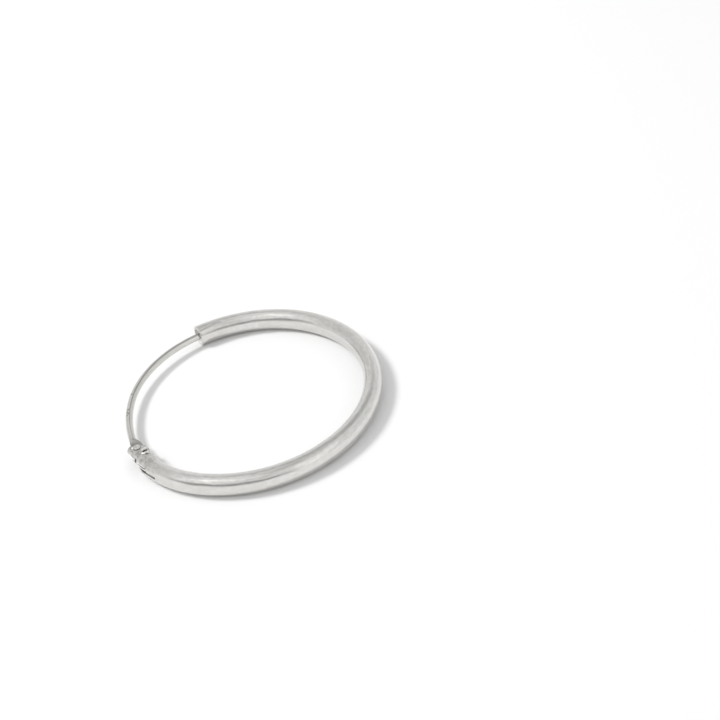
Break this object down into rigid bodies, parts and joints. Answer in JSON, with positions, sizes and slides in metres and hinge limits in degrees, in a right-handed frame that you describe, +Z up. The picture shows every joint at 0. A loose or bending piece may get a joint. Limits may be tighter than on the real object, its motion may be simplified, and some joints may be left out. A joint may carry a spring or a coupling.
{
  "type": "hinged hoop earring",
  "caption": "Round hoop earring of hollow oval tube, with an open mouth and a thin curved ear wire on a riveted hinge that closes into the mouth.",
  "frame": {"origin": "under the middle of the earring, on the surface that it lies flat on", "axes": "+Z up along the hoop's own axis, through the thin way of the earring; +X across the hoop, its widest way; +Y towards the ear wire, which is the top when worn"},
  "size_m": [0.03, 0.0288, 0.0027],
  "materials": {
    "tube_silver": "polished silver, lightly worn",
    "wire_silver": "polished drawn silver wire",
    "rivet_silver": "hammered silver"
  },
  "bodies": {
    "hoop": {"hoop_tube": "tube_silver", "hinge_rivet": "rivet_silver"},
    "wire": {"ear_wire": "wire_silver"}
  },
  "joints": [
    {"name": "wire_hinge", "type": "hinge", "parent": "hoop", "child": "wire", "pos_m": [-0.01017, 0.00973, 0], "axis": [0, 0, 1], "range_deg": [0, 75]}
  ]
}
